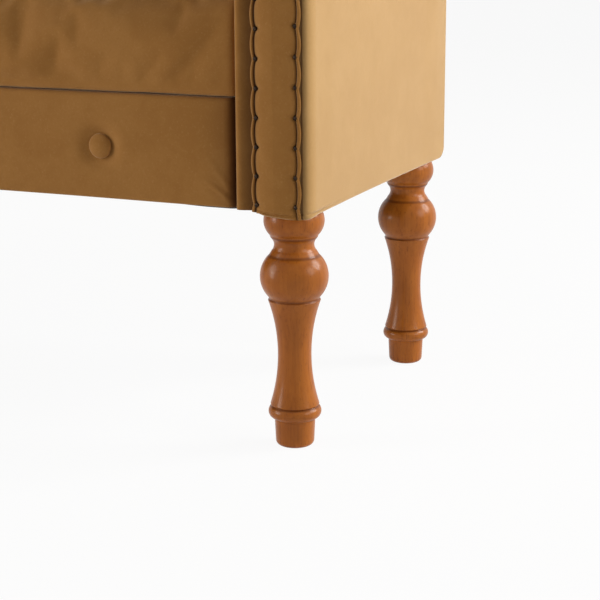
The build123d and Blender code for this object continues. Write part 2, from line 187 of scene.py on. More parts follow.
class Graph:
    def __init__(self, name, owner=None):
        self.material = owner or bpy.data.materials.new(name)
        self.material.use_nodes = True
        self.tree = self.material.node_tree
        self.tree.nodes.clear()

    def node(self, kind, settings=None, inputs=None, out=0):
        made = self.tree.nodes.new(kind)
        for key, value in (settings or {}).items():
            setattr(made, key, value)
        for key, value in (inputs or {}).items():
            if isinstance(value, Value):
                self.tree.links.new(value.socket, made.inputs[key])
            else:
                made.inputs[key].default_value = value
        return Value(self, made.outputs[out] if len(made.outputs) else None)

    def place(self, scale=(1, 1, 1), turn=(0, 0, 0)):
        where = self.node("ShaderNodeTexCoord", out="Object")
        return self.node("ShaderNodeMapping", None, {"Vector": where, "Scale": scale, "Rotation": turn})

    def noise(self, where, scale, detail=2.0, rough=0.5, bend=0.0):
        settings = {"noise_dimensions": "3D"}
        inputs = {"Vector": where, "Scale": scale, "Detail": detail, "Roughness": rough, "Distortion": bend}
        return self.node("ShaderNodeTexNoise", settings, inputs)

    def range(self, value, low, high, toLow=0.0, toHigh=1.0):
        inputs = {0: value, 1: low, 2: high, 3: toLow, 4: toHigh}
        return self.node("ShaderNodeMapRange", {"clamp": True, "interpolation_type": "SMOOTHSTEP"}, inputs)

    def blend(self, share, first, second):
        return self.node("ShaderNodeMix", {"data_type": "RGBA"}, {0: share, 6: first, 7: second}, out=2)

    def bump(self, height, depth, strength=1.0):
        return self.node("ShaderNodeBump", None, {"Height": height, "Distance": depth, "Strength": strength})

    def shownRays(self):
        # rays that see the white background itself
        names = ("Is Camera Ray", "Is Glossy Ray", "Is Transmission Ray")
        return sum(self.node("ShaderNodeLightPath", out=name) for name in names)

    def surface(self, **inputs):
        named = {key.replace("_", " "): value for key, value in inputs.items()}
        shader = self.node("ShaderNodeBsdfPrincipled", None, named)
        self.node("ShaderNodeOutputMaterial", None, {"Surface": shader})
        return self.material


def colour(red, green, blue):
    return (red, green, blue, 1.0)


# Matte caramel suede: a short nap that lies lighter and darker in soft clouds
suede = {
    "tan": colour(0.385, 0.180, 0.046),
    "shaded": colour(0.335, 0.150, 0.036),
    "bright": colour(0.430, 0.212, 0.064),
    # the dark colour that painted shade blends towards
    "crease": colour(0.046, 0.014, 0.003),
    "sheen": 0.50,
    "sheenTint": colour(1.0, 0.84, 0.62),
}
# A paler, less saturated copy of the suede for the outer sides: painted light, standing in for the brighter
# light and sheen that these sides catch
litSideSuede = {
    "sheen": 0.80,
    "sheenTint": colour(1.0, 0.93, 0.82),
    "tan": colour(0.535, 0.318, 0.117),
    "shaded": colour(0.497, 0.288, 0.102),
    "bright": colour(0.568, 0.346, 0.137),
}


def suedeCloth(name, tones):
    # soft clouds set the tone, a fine nap lightens and darkens it, and the shade attribute blends in painted
    # shade that darkens creases, gaps and recesses
    g = Graph(name)
    where = g.place()
    clouds = g.noise(where, 9.0, 4.0, 0.55, 0.4)
    brushed = g.noise(where, 48.0, 4.0, 0.6, 0.6)
    nap = g.noise(where, 430.0, 4.0, 0.7)
    grain = g.noise(where, 2400.0, 2.0, 0.6)
    tone = g.range(clouds * 0.65 + brushed * 0.35, 0.36, 0.64)
    base = g.blend(tone, tones["shaded"], tones["tan"])
    base = g.blend(g.range(nap, 0.52, 0.78, 0.0, 0.80), base, tones["bright"])
    base = g.blend(g.range(nap, 0.47, 0.25, 0.0, 0.85), base, tones["shaded"])
    # painted shade: the piece's shade attribute darkens the colour where creases, gaps and neighbouring parts
    # would cast shade
    fold = g.node("ShaderNodeAttribute", {"attribute_name": "shade"}, out="Fac")
    base = g.blend(fold, base, suede["crease"])
    rough = g.range(tone, 0.0, 1.0, 0.92, 0.84)
    height = nap * 0.6 + grain * 0.4 + brushed * 0.8
    return g.surface(
        Base_Color=base, Roughness=rough, Normal=g.bump(height, 0.0004, 0.40), IOR=1.42,
        Specular_IOR_Level=0.2, Sheen_Weight=tones["sheen"], Sheen_Roughness=0.40,
        Sheen_Tint=tones["sheenTint"],
    )


# Honey stain under a satin varnish, with the grain up the leg
stain = {
    "light": colour(0.452, 0.142, 0.0170),
    "middle": colour(0.380, 0.110, 0.0125),
    "dark": colour(0.205, 0.053, 0.006),
    "pore": colour(0.120, 0.030, 0.006),
    "gloss": 0.32,
    "coat": 0.20,
}


def turnedWood(grooves):
    # rings and streaks drawn out along the leg, darker patches and pores, and stain gathered in the grooves
    g = Graph("honeyTurnedWood")
    rings = g.noise(g.place((1.0, 0.7, 0.045), (0.06, 0.04, 0.0)), 95.0, 4.0, 0.55, 0.9)
    streaks = g.noise(g.place((1.0, 1.0, 0.035)), 420.0, 3.0, 0.6)
    pores = g.noise(g.place((1.0, 1.0, 0.09)), 1350.0, 2.0, 0.5)
    patches = g.noise(g.place(), 22.0, 2.0, 0.5, 0.5)
    figure = g.range(rings * 0.65 + streaks * 0.35, 0.34, 0.66)
    base = g.blend(figure, stain["middle"], stain["light"])
    base = g.blend(g.range(streaks, 0.44, 0.24, 0.0, 0.60), base, stain["dark"])
    base = g.blend(g.range(patches, 0.40, 0.72, 0.0, 0.30), base, stain["dark"])
    fleck = g.range(pores, 0.64, 0.72)
    base = g.blend(fleck * 0.55, base, stain["pore"])
    where = g.node("ShaderNodeTexCoord", out="Object")
    split = g.node("ShaderNodeSeparateXYZ", None, {0: where}, out=2)
    for height in grooves:
        base = g.blend(g.range(abs(split - height), 0.0020, 0.0004, 0.0, 0.62), base, stain["pore"])
    rough = g.range(figure, 0.0, 1.0, stain["gloss"] + 0.06, stain["gloss"] - 0.02)
    height = streaks * 0.35 - fleck * 0.5
    return g.surface(
        Base_Color=base, Roughness=rough, Normal=g.bump(height, 0.00015, 0.25), IOR=1.46,
        Specular_IOR_Level=0.13, Coat_Weight=stain["coat"], Coat_Roughness=0.17,
    )


def planedWood(name, light, dark):
    # sawn softwood of the hidden frame, grain along the bench
    g = Graph(name)
    rings = g.noise(g.place((0.06, 1.0, 1.0)), 70.0, 4.0, 0.6, 1.2)
    fibres = g.noise(g.place((0.04, 1.0, 1.0)), 600.0, 3.0, 0.6)
    figure = g.range(rings * 0.7 + fibres * 0.3, 0.32, 0.68)
    return g.surface(
        Base_Color=g.blend(figure, dark, light), Roughness=g.range(fibres, 0.3, 0.7, 0.62, 0.82),
        Normal=g.bump(fibres, 0.0003, 0.4),
    )


def pressedBoard():
    # pressed flakes under soft clouds
    g = Graph("brownHardboard")
    flakes = g.noise(g.place(), 480.0, 4.0, 0.7)
    clouds = g.noise(g.place(), 20.0, 2.0)
    base = g.blend(g.range(flakes, 0.35, 0.65), colour(0.16, 0.085, 0.04), colour(0.30, 0.18, 0.09))
    return g.surface(
        Base_Color=g.blend(clouds * 0.3, base, colour(0.13, 0.07, 0.03)),
        Roughness=g.range(flakes, 0.3, 0.7, 0.6, 0.8), Normal=g.bump(flakes, 0.0003, 0.3),
    )


def plainWeave(name, light, dark, threads):
    # threads over and under: two rows of soft waves crossed in a checker
    g = Graph(name)
    size = 2 * math.pi * threads / 20.0
    inputs = {"Vector": g.place(), "Scale": size, "Distortion": 0.6, "Detail": 1.0}
    settings = {"wave_type": "BANDS", "wave_profile": "SIN"}
    warp, weft = (
        g.node("ShaderNodeTexWave", {**settings, "bands_direction": way}, inputs, out=1) for way in ("X", "Y")
    )
    slub = g.noise(g.place(), 160.0, 3.0, 0.6)
    cloth = warp * 0.5 + weft * 0.5
    tone = g.range(cloth * 0.7 + slub * 0.3, 0.25, 0.75)
    return g.surface(
        Base_Color=g.blend(tone, dark, light), Roughness=g.range(slub, 0.3, 0.7, 0.86, 0.96),
        Normal=g.bump(cloth, 0.0004, 0.5),
    )


def agedNail():
    # dark metal, rubbed lighter in spots
    g = Graph("agedNail")
    worn = g.noise(g.place(), 700.0, 3.0, 0.6)
    rub = g.range(worn, 0.50, 0.72)
    base = g.blend(rub, colour(0.020, 0.010, 0.005), colour(0.075, 0.040, 0.018))
    return g.surface(Base_Color=base, Metallic=0.75, Roughness=g.range(worn, 0.3, 0.7, 0.55, 0.38))


def platedSteel():
    # bright metal with fine brushing
    g = Graph("platedSteel")
    brushed = g.noise(g.place((1.0, 1.0, 8.0)), 300.0, 2.0)
    base = g.blend(brushed, colour(0.42, 0.40, 0.37), colour(0.62, 0.60, 0.56))
    return g.surface(Base_Color=base, Metallic=1.0, Roughness=g.range(brushed, 0.3, 0.7, 0.28, 0.45))


suedeLook = suedeCloth("caramelSuede", suede)
# the outer sides get the paler copy, which is painted light
litSideLook = suedeCloth("caramelSuedePaintedLitSide", litSideSuede)
railLook = planedWood("paleFrameWood", colour(0.62, 0.44, 0.25), colour(0.44, 0.27, 0.13))
hardboardLook = pressedBoard()
juteLook = plainWeave("juteWebbing", colour(0.50, 0.38, 0.22), colour(0.26, 0.18, 0.09), 520.0)
platformLook = plainWeave("unbleachedCloth", colour(0.66, 0.60, 0.48), colour(0.44, 0.39, 0.29), 900.0)
dustLook = plainWeave("blackDustCloth", colour(0.035, 0.033, 0.031), colour(0.012, 0.011, 0.010), 1100.0)
nailLook = agedNail()
steelLook = platedSteel()
print("cover, frame and metal materials done")

# Turned legs: radius at each height in millimetres, carried round the leg's axis
leg = {
    "segments": 96,
    "step": 0.42,
    "foot": (18.5, 19.5, 27.0, 5.0),
    "ring": (25.4, 34.0),
    "flare": (23.5, 41.0),
    "waist": (16.0, 90.4),
    "shoulder": (25.0, 143.3),
    "bulb": (32.4, 166.0, 19.0),
    "cove": (21.2, 190.4),
    "neck": (18.9, 196.1),
    "beadFoot": (22.2, 203.4),
    "beadStep": (0.7, 2.2),
    "bead": (28.6, 218.6),
    "top": (25.2, 230.0),
    "groove": 1.3,
}
grooves = [
    leg["flare"][1] - leg["groove"],
    leg["shoulder"][1] + leg["groove"],
    leg["bulb"][1] + leg["bulb"][2] + leg["groove"],
    leg["beadFoot"][1],
]
legLook = turnedWood([height * mm for height in grooves])


def arcThrough(first, middle, last, count):
    # circle through three points, from the first over the middle one to the last
    a, b, c = (np.array(p, float) for p in (first, middle, last))
    rows = 2 * np.stack([b - a, c - a])
    centre = np.linalg.solve(rows, np.array([b @ b - a @ a, c @ c - a @ a]))
    offsets = np.stack([a, b, c]) - centre
    angle = np.unwrap(np.arctan2(offsets[:, 1], offsets[:, 0]))
    sweep = np.linspace(angle[0], angle[2], count)
    return centre + np.hypot(*offsets[0]) * spread(np.cos(sweep), np.sin(sweep))


def waistArc(waist, end, count):
    # circle that is upright at the waist and passes through the end
    across, up = end[0] - waist[0], end[1] - waist[1]
    radius = (across**2 + up**2) / (2 * across)
    height = np.linspace(waist[1], end[1], count)
    return spread(waist[0] + radius - np.sqrt(radius**2 - (height - waist[1]) ** 2), height)


def evenly(line, step):
    # the same line in even steps
    along = np.concatenate([[0], np.cumsum(np.hypot(*np.diff(line, axis=0).T))])
    where = np.linspace(0, along[-1], int(along[-1] / step) + 1)
    return np.stack([np.interp(where, along, line[:, k]) for k in range(2)], 1)


def legProfile():
    # radius and height from the floor up: a rounded foot, arcs through three points for ring, bulb, neck and
    # bead, two arcs that stand upright at the waist, and a cut at each groove
    footLow, footTop, footHeight, edge = leg["foot"]
    bulbRadius, bulbZ, bulbHalf = leg["bulb"]
    shoulder, groove, flare = leg["shoulder"], leg["groove"], leg["flare"]
    cut = shoulder[0] - groove
    edgeAngle = np.linspace(-np.pi / 2, 0, 8)
    footEdge = spread(footLow - edge + edge * np.cos(edgeAngle), edge + edge * np.sin(edgeAngle))
    neckTop = (leg["neck"][0] + groove, leg["neck"][1] + 4.8)
    stepTop = np.add(leg["beadFoot"], leg["beadStep"])
    line = np.concatenate([
        [(0.0, 0.0)],
        footEdge,
        arcThrough((footTop, footHeight), leg["ring"], np.subtract(flare, groove), 24),
        waistArc(leg["waist"], flare, 60)[::-1],
        waistArc(leg["waist"], shoulder, 60)[1:],
        [(cut, shoulder[1] + groove)],
        arcThrough((shoulder[0], bulbZ - bulbHalf), (bulbRadius, bulbZ), (shoulder[0], bulbZ + bulbHalf), 50),
        [(cut, bulbZ + bulbHalf + groove)],
        arcThrough(leg["cove"], leg["neck"], neckTop, 30),
        [leg["beadFoot"]],
        arcThrough(stepTop, leg["bead"], leg["top"], 40),
        [(0.0, leg["top"][1])],
    ])
    line = evenly(line, leg["step"])
    # the varnish softens every edge a little
    line[1:-1] = 0.25 * line[:-2] + 0.5 * line[1:-1] + 0.25 * line[2:]
    return line


legPoints, legFaces = lathe(legProfile(), leg["segments"])
for place in ("front_left", "front_right", "rear_left", "rear_right"):
    low, high = corners(f"leg_{place}")
    axis = (low + high) / 2 * (1, 1, 0)
    addPiece(f"turnedLeg_{place}", [(legPoints + axis, legFaces)], legLook, [f"leg_{place}"])
print("legs: 4")

# Covered buttons: a low dome of cloth over a disc
button = {"radius": 12.0, "height": 7.0, "rim": 1.6, "segments": 40, "pitch": 192.5, "raised": 0.6}


def buttonPart():
    # from the crown out over the dome, round the rim and back under
    radius, rim = button["radius"], button["rim"]
    angle = quarterTurn(14)
    height = rim + (button["height"] - rim) * np.cos(angle) ** 1.15
    dome = spread(radius * np.sin(angle), height)
    under = np.array([(0.97, 0.6), (0.90, 0.1), (0.55, 0.0), (0.0, 0.0)])
    return lathe(np.concatenate([dome, under * (radius, rim)]), button["segments"])


# Border between the arm fronts: a flat padded panel that folds under the rail.
# Each pull is a ridge at the lower ends: its slope, its height at the end, its size and its width
borderLow, borderHigh = corners("border_cover")
border = {
    "side": borderHigh[0] + 0.1,
    "front": borderLow[1],
    "top": borderHigh[2],
    "bottom": borderLow[2],
    "hem": 48.0,
    "skin": 1.6,
    "topRound": 4.0,
    "fold": 3.0,
    "puff": 1.6,
    "buttonZ": 282.8,
    "buttons": 5,
    "dimple": 4.0,
    "dimpleReach": 9.5,
    "droop": 0.7,
    "droopFrom": 330.0,
    "slot": 7.2,
    "slotDeep": 8.6,
    "endRound": 10.0,
    "sag": 2.4,
    "pulls": ((0.58, 2.0, 1.7, 2.2), (0.30, 3.0, 0.9, 2.6), (1.1, 6.0, 0.8, 3.4)),
    "lining": 0.35,
    "columns": 400,
    "endColumns": 48,
    "endReach": 34.0,
}


def panelLoop(railFace):
    # closed section of the panel: over the top, down the front, round the fold, along the hem and up the rail
    b = border
    quarter = quarterTurn(7)
    bendIn, bendUp = 1 - np.cos(quarter), 1 - np.sin(quarter)
    topEdge = spread(b["front"] + b["topRound"] * bendUp, b["top"] - b["topRound"] * bendIn)
    heights = np.linspace(b["top"] - b["topRound"], b["bottom"] + b["fold"], 58)[1:-1]
    face = spread(b["front"], heights)
    fold = spread(b["front"] + b["fold"] * bendIn, b["bottom"] + b["fold"] * bendUp)
    hemEnd = b["front"] + b["hem"]
    hem = spread(np.linspace(b["front"] + b["fold"], hemEnd, 10)[1:], b["bottom"])
    inside = b["bottom"] + b["skin"]
    back = np.array([(hemEnd, inside), (railFace + 1.0, inside), (railFace, inside + 1.0)])
    rise = spread(railFace, np.linspace(b["bottom"] + 6.0, b["top"], 8))
    loose = np.ones(len(topEdge) + len(face) + len(fold))
    give = np.concatenate([loose, np.linspace(0.9, 0, len(hem)), np.zeros(len(back) + len(rise))])
    return np.concatenate([topEdge, face, fold, hem, back, rise]), give


def panelPart(railFace, buttonXs):
    # the section carried along X: swollen by a sine of the height, drawn in by a bell at each button, ridged
    # along slanting lines at its lower ends, and turned back on a circle beside the arms
    b = border
    loop, give = panelLoop(railFace)
    reach = b["side"] - b["endReach"]
    ends = np.linspace(reach, b["side"], b["endColumns"])
    x = np.concatenate([-ends[::-1], np.linspace(-reach, reach, b["columns"])[1:-1], ends])[:, None]
    y, z = (np.broadcast_to(loop[None, :, k], (len(x), len(loop))).copy() for k in range(2))
    fromEnd, above, behind = b["side"] - np.abs(x), z - b["bottom"], y - b["front"]
    onFace = 1 - smooth(0.2, 3.5, behind)
    span = np.sin(np.pi * np.clip(above / (b["top"] - b["bottom"]), 0, 1)) ** 0.7
    push = -b["puff"] * span * smooth(0, 40, fromEnd)
    for buttonX in buttonXs:
        toRim = np.clip(np.hypot(x - buttonX, z - b["buttonZ"]) - button["radius"] + 1, 0, None)
        push = push + (b["dimple"] + b["puff"] * 0.6) * bell(toRim, b["dimpleReach"])
    for slope, crossing, size, width in b["pulls"]:
        ridge = (above - crossing - slope * fromEnd) / math.hypot(1, slope)
        push = push - size * bell(ridge, width) * smooth(44, 14, fromEnd) * smooth(0, 6, fromEnd)
    # the lower edge droops towards the arms, and the hem's ends hang below it
    droop = b["droop"] * smooth(b["droopFrom"], b["side"], np.abs(x))
    onHem = (give > 0) & (give < 0.95)
    hang = smooth(420, 500, np.abs(x)) * smooth(530, 525, np.abs(x)) * onHem
    z = z - droop * smooth(26, 2, above) * (1 - smooth(2, 7, behind))
    z = z - b["sag"] * hang * smooth(26, 10, behind)
    inSlot = np.clip(1 - (fromEnd - b["slot"]) / b["endRound"], 0, 1)
    turn = 1 - np.sqrt(1 - inSlot**2)
    # painted shade: darker towards the arms and deep in the slot beside them, where the arm shades the
    # border's ends
    shade = 0.34 * bell(fromEnd - b["slot"] * (inSlot < 1), 20.0) + 0.60 * smooth(0.25, 0.95, inSlot)
    y = y + push * onFace * (1 - inSlot) + b["slotDeep"] * turn * give
    return tube(spread(x, y, z)), shade * (give > 0.95)


middleButton = (border["buttons"] - 1) / 2
borderXs = (np.arange(border["buttons"]) - middleButton) * button["pitch"]
borderShape, borderShade = panelPart(bench["railFace"], borderXs)
borderPanel = addPiece(
    "borderPanel", [borderShape], suedeLook, ["border_cover", "border_pad"], shade=borderShade
)
# the dark lining shows where the hem hangs below the border's edge
middles = np.zeros(len(borderPanel.data.polygons) * 3, np.float32)
borderPanel.data.polygons.foreach_get("center", middles)
borderPanel.data.materials.append(dustLook)
hangs = middles[2::3] < (border["bottom"] - border["lining"]) * mm
borderPanel.data.polygons.foreach_set("material_index", hangs.astype(np.int32))
# the back is the same panel without buttons, turned round
(backPoints, backFaces), _ = panelPart(bench["railFace"], [])
backPoints = backPoints * (-1, -1, 1) + (0, bench["railBack"] + bench["railFront"], 0)
backPanel = addPiece("backPanel", [(backPoints, backFaces)], suedeLook, ["back_cover", "back_pad"])

toFront = np.array([[1.0, 0, 0], [0, 0, -1.0], [0, 1.0, 0]])
capY = border["front"] + border["dimple"] - button["raised"]
borderPlaces = spread(borderXs, capY, border["buttonZ"])
borderCaps = copies(buttonPart(), np.repeat(toFront[None], len(borderXs), 0), borderPlaces)
addPiece("borderButtonCaps", [borderCaps], suedeLook, ["border_buttons"])
print("border and back panels, buttons:", len(borderXs))

# Seat: a crowned section carried from arm to arm, drawn in by buttons, whose cover then swells as cloth
seatLow, seatHigh = corners("seat_cover")
seat = {
    "side": seatHigh[0],
    "front": -190.0,
    "bottom": seatLow[2],
    "edge": 410.0,
    "round": 24.0,
    "crown": 14.0,
    "swell": 2.5,
    "startIn": 5.5,
    "rows": 3,
    "rowPitch": 112.0,
    "dimple": 13.0,
    "dimpleReach": 19.0,
    "pucker": 0.7,
    "endRound": 11.0,
    "columns": 168,
    "heldEdge": 10.0,
    "heldEnd": 3.0,
    "heldButton": 12.5,
    "slack": 0.014,
    "stretch": 25.0,
    "shear": 10.0,
    "bending": 2.5,
    "pressure": 4.0,
    "quality": 6,
    "frames": 20,
    "mostSwell": 7.0,
    "endCalm": 55.0,
}


def seatLoop():
    # closed section: up the swelling front, round the edge, over the crown and down the back
    s = seat
    back, top = -s["front"], s["edge"] + s["round"]
    half, reach = (s["bottom"] + s["edge"]) / 2, s["round"] * (1 - math.sqrt(0.5))
    low, high, corner = (s["front"], s["bottom"]), (s["front"], s["edge"]), (s["front"] + s["round"], top)
    front = arcThrough(low, (s["front"] - s["swell"], half), high, 18)
    edge = arcThrough(high, (s["front"] + reach, top - reach), corner, 10)[1:]
    crown = arcThrough(corner, (0, top + s["crown"]), (back - s["round"], top), 76)[1:]
    flip = np.array([-1.0, 1.0])
    under = spread(np.linspace(back, s["front"], 14)[1:-1], s["bottom"])
    return np.concatenate([front, edge, crown, (edge[::-1] * flip)[1:], front[::-1] * flip, under])


def seatPlaces():
    # button places on the crown, odd rows set half a pitch aside, and the slope there
    perRow = [border["buttons"] - r % 2 for r in range(seat["rows"])]
    row = np.repeat(np.arange(seat["rows"]), perRow)
    column = np.concatenate([np.arange(count) for count in perRow])
    x = (column - middleButton + 0.5 * (row % 2)) * button["pitch"]
    y = (row - (seat["rows"] - 1) / 2) * seat["rowPitch"]
    halfTop = -seat["front"] - seat["round"]
    height = seat["edge"] + seat["round"] + seat["crown"] * (1 - (y / halfTop) ** 2)
    slope = np.arctan(-2 * seat["crown"] * y / halfTop**2)
    return spread(x, y, height), slope


def seatPart(places):
    # inset grows towards the ends, and each button pulls a hollow with faint radial puckers
    s = seat
    loop = seatLoop()
    along = np.roll(loop, -1, 0) - np.roll(loop, 1, 0)
    normal = np.stack([along[:, 1], -along[:, 0]], 1) / np.hypot(*along.T)[:, None]
    t = np.linspace(-1, 1, s["columns"])
    x = (s["side"] * np.sin(t * np.pi / 2 * 0.6) / math.sin(np.pi / 2 * 0.6))[:, None]
    fromEnd = np.clip(s["side"] - np.abs(x), 0, s["endRound"])
    inset = s["endRound"] - np.sqrt(s["endRound"] ** 2 - (s["endRound"] - fromEnd) ** 2)
    y, z = loop[None, :, 0], loop[None, :, 1]
    onTop = smooth(s["edge"] - 4, s["edge"] + 18, z)
    pull = np.full((s["columns"], len(loop)), s["startIn"])
    for placeX, placeY, _ in places:
        dx, dy = x - placeX, y - placeY
        reach = np.hypot(dx, dy)
        toRim = np.clip(reach - button["radius"] + 1, 0, None)
        pull = np.maximum(pull, s["dimple"] * bell(toRim, s["dimpleReach"]))
        ray = np.cos(7 * np.arctan2(dy, dx) + placeX * 0.05) * bell(reach - 24.0, 12.0)
        pull = pull + s["pucker"] * ray
    lowPull = 0.8 * np.sin(x / 61.0) * np.sin(x / 23.0 + 1.3) * bell(z - s["bottom"] - 8.0, 12.0)
    move = inset + pull * onTop + lowPull
    y, z = y + normal[None, :, 0] * move, z + normal[None, :, 1] * move
    return tube(spread(x, y, np.maximum(z, s["bottom"])))


def swellCover(cushion, places):
    # cloth with a little slack under inner pressure, held at the buttons, the lower edge and the arms
    s, scene = seat, bpy.context.scene
    start = np.zeros(len(cushion.data.vertices) * 3, np.float32)
    cushion.data.vertices.foreach_get("co", start)
    x, y, z = (start.reshape(-1, 3) / mm).T
    toButton = np.min(np.hypot(x[:, None] - places[None, :, 0], y[:, None] - places[None, :, 1]), 1)
    held = (z < s["bottom"] + s["heldEdge"]) | (np.abs(x) > s["side"] - s["heldEnd"])
    held |= (toButton < s["heldButton"]) & (z > s["edge"])
    group = cushion.vertex_groups.new(name="held")
    group.add(np.flatnonzero(held).tolist(), 1.0, "REPLACE")
    cloth = cushion.modifiers.new("cover", "CLOTH")
    settings = {
        "quality": s["quality"],
        "tension_stiffness": s["stretch"],
        "compression_stiffness": s["stretch"],
        "shear_stiffness": s["shear"],
        "bending_stiffness": s["bending"],
        "vertex_group_mass": group.name,
        "shrink_min": -s["slack"],
        "use_pressure": True,
        "uniform_pressure_force": s["pressure"],
    }
    for key, value in settings.items():
        setattr(cloth.settings, key, value)
    cloth.settings.effector_weights.gravity = 0.0
    cloth.collision_settings.use_collision = False
    cloth.point_cache.frame_start, cloth.point_cache.frame_end = 1, s["frames"]
    for number in range(1, s["frames"] + 1):
        scene.frame_set(number)
    swollen = np.zeros_like(start)
    cushion.evaluated_get(bpy.context.evaluated_depsgraph_get()).data.vertices.foreach_get("co", swollen)
    cushion.modifiers.remove(cloth)
    cushion.vertex_groups.remove(group)
    scene.frame_set(1)
    # no point moves too far, and the ends stay calm
    move = (swollen - start).reshape(-1, 3)
    far = np.maximum(np.linalg.norm(move, axis=1), 1e-9)
    calm = smooth(0.0, s["endCalm"], s["side"] - np.abs(x))
    move *= (calm * np.minimum(1.0, s["mostSwell"] * mm / far))[:, None]
    cushion.data.vertices.foreach_set("co", start + move.ravel())
    cushion.data.update()
    finer = cushion.modifiers.new("finer", "SUBSURF")
    finer.levels = finer.render_levels = 1


seatSpots, seatSlopes = seatPlaces()
seatCushion = addPiece("seatCushion", [seatPart(seatSpots)], suedeLook, ["seat_cover", "seat_foam"])
swellCover(seatCushion, seatSpots)
# each cap is turned about X by the slope of the crown and sunk to the bottom of its hollow
cosine, sine, zero = np.cos(seatSlopes), np.sin(seatSlopes), np.zeros_like(seatSlopes)
seatTurns = np.stack([zero + 1, zero, zero, zero, cosine, -sine, zero, sine, cosine], 1).reshape(-1, 3, 3)
seatLowered = seatSpots - seatTurns[:, :, 2] * (seat["dimple"] - button["raised"])
seatCaps = copies(buttonPart(), seatTurns, seatLowered)
addPiece("seatButtonCaps", [seatCaps], suedeLook, ["seat_buttons"])
print("seat cushion, buttons:", len(seatSpots))

# Arms: inner side, roll and front return in one cover over the padding
arm = {
    "frontRound": 5.0,
    "return": 24.0,
    "slope": 2.7,
    "skin": 2.0,
    "tuck": -96.0,
    "foot": 335.0,
    "frontFoot": 234.6,
    "bulge": 2.2,
    "stem": 90,
    "roll": 110,
}


def armPart():
    # loop of inset and Y: along the outside, round the front edge, in over the return and back along the
    # inside; carried up the stem and round the roll's circle
    quarter = quarterTurn(8)
    r, skin, back = arm["frontRound"], arm["skin"], bench["boardBack"] + 1.0
    front = bench["returnFront"] - 1.3
    railY = bench["railFace"]
    outsideY = np.concatenate([np.linspace(back, railY + 0.1, 66), np.linspace(railY - 0.1, front + r, 6)])
    outside = spread(0.0, outsideY)
    edge = spread(r * (1 - np.cos(quarter)), front + r * (1 - np.sin(quarter)))[1:]
    inward = np.linspace(r, arm["return"], 8)[1:]
    across = spread(inward, front + arm["slope"] * smooth(r, 16.0, inward))
    behind = np.array([(arm["return"], front + arm["slope"] + 0.3), (r, front + 2.4), (skin, front + r)])
    insideY = np.concatenate([np.linspace(front + r + 4, railY - 0.1, 4), np.linspace(railY + 0.1, back, 18)])
    inside = spread(skin, insideY)
    loop = np.concatenate([outside, edge, across, behind, inside])
    inset, y = loop[None, :, 0], loop[None, :, 1]
    # up the inner side, then round the roll to under its outer edge
    foot = np.where(y > railY, arm["foot"], arm["frontFoot"])
    up = np.linspace(0, 1, arm["stem"])[:, None]
    stemZ = foot + (rollZ - foot) * up
    swell = arm["bulge"] * smooth(448, 500, stemZ) * smooth(580, 520, stemZ) * (1 - smooth(0.0, 1.0, inset))
    swell = swell * smooth(front, front + 50, y) * smooth(back, back - 50, y)
    stem = spread(bench["armInner"] + inset - swell, y, stemZ)
    angle = np.radians(np.linspace(180, arm["tuck"], arm["roll"]))[1:, None]
    radius = bench["rollRadius"] - inset
    aroundX, aroundZ = rollX + radius * np.cos(angle), rollZ + radius * np.sin(angle)
    roll = spread(aroundX, y, aroundZ)
    # painted shade on the return strip beside the facing, darker towards the facing's edge, where the facing
    # shades it
    paintedReturnShade = (0.30 * smooth(3.0, 7.0, inset) + 0.40 * smooth(7.0, 17.0, inset)) * (y < front + 6)
    return tube(np.concatenate([stem, roll])), np.repeat(paintedReturnShade, len(stem) + len(roll), 0)


armShape, armShade = armPart()
addPair("armPad", [armShape], suedeLook, ["arm_cover", "arm_foam"], armShade)

# Nailed facing on the arm front: a puffed panel inside a hem that swells between the nails
facing = {
    "inner": 555.8,
    "outer": 594.5,
    "radius": 45.2,
    "bottom": 231.0,
    "firstNail": 240.5,
    "steps": (12, 9, 11),
    "hemPinch": 3.1,
    "hemSwell": 5.3,
    "creaseIn": -0.6,
    "creaseOut": 1.3,
    "hemDepth": 1.9,
    "panelDepth": 7.4,
    "edge": 8.5,
    "puff": 0.8,
    "rise": 2.7,
    "droop": 2.2,
    "nailRadius": 2.25,
    "nailHeight": 1.9,
}

# Outer side of the arm: taut cloth that turns round the front edge and folds under at the bottom
outer = {
    "start": 588.0,
    "cornerX": 600.5,
    "cornerDeep": 15.0,
    "bulge": 7.5,
    "taper": (-187.0, 130.0),
    "rearTurn": 3.5,
    "rearEdge": 205.0,
    "rearRound": 16.0,
    "fineFrom": 186.0,
    "fold": 2.4,
    "hem": 8.0,
    "skin": 1.6,
    "droop": 2.0,
    "rearFall": 1.7,
    "bow": 0.8,
    "top": 526.0,
}


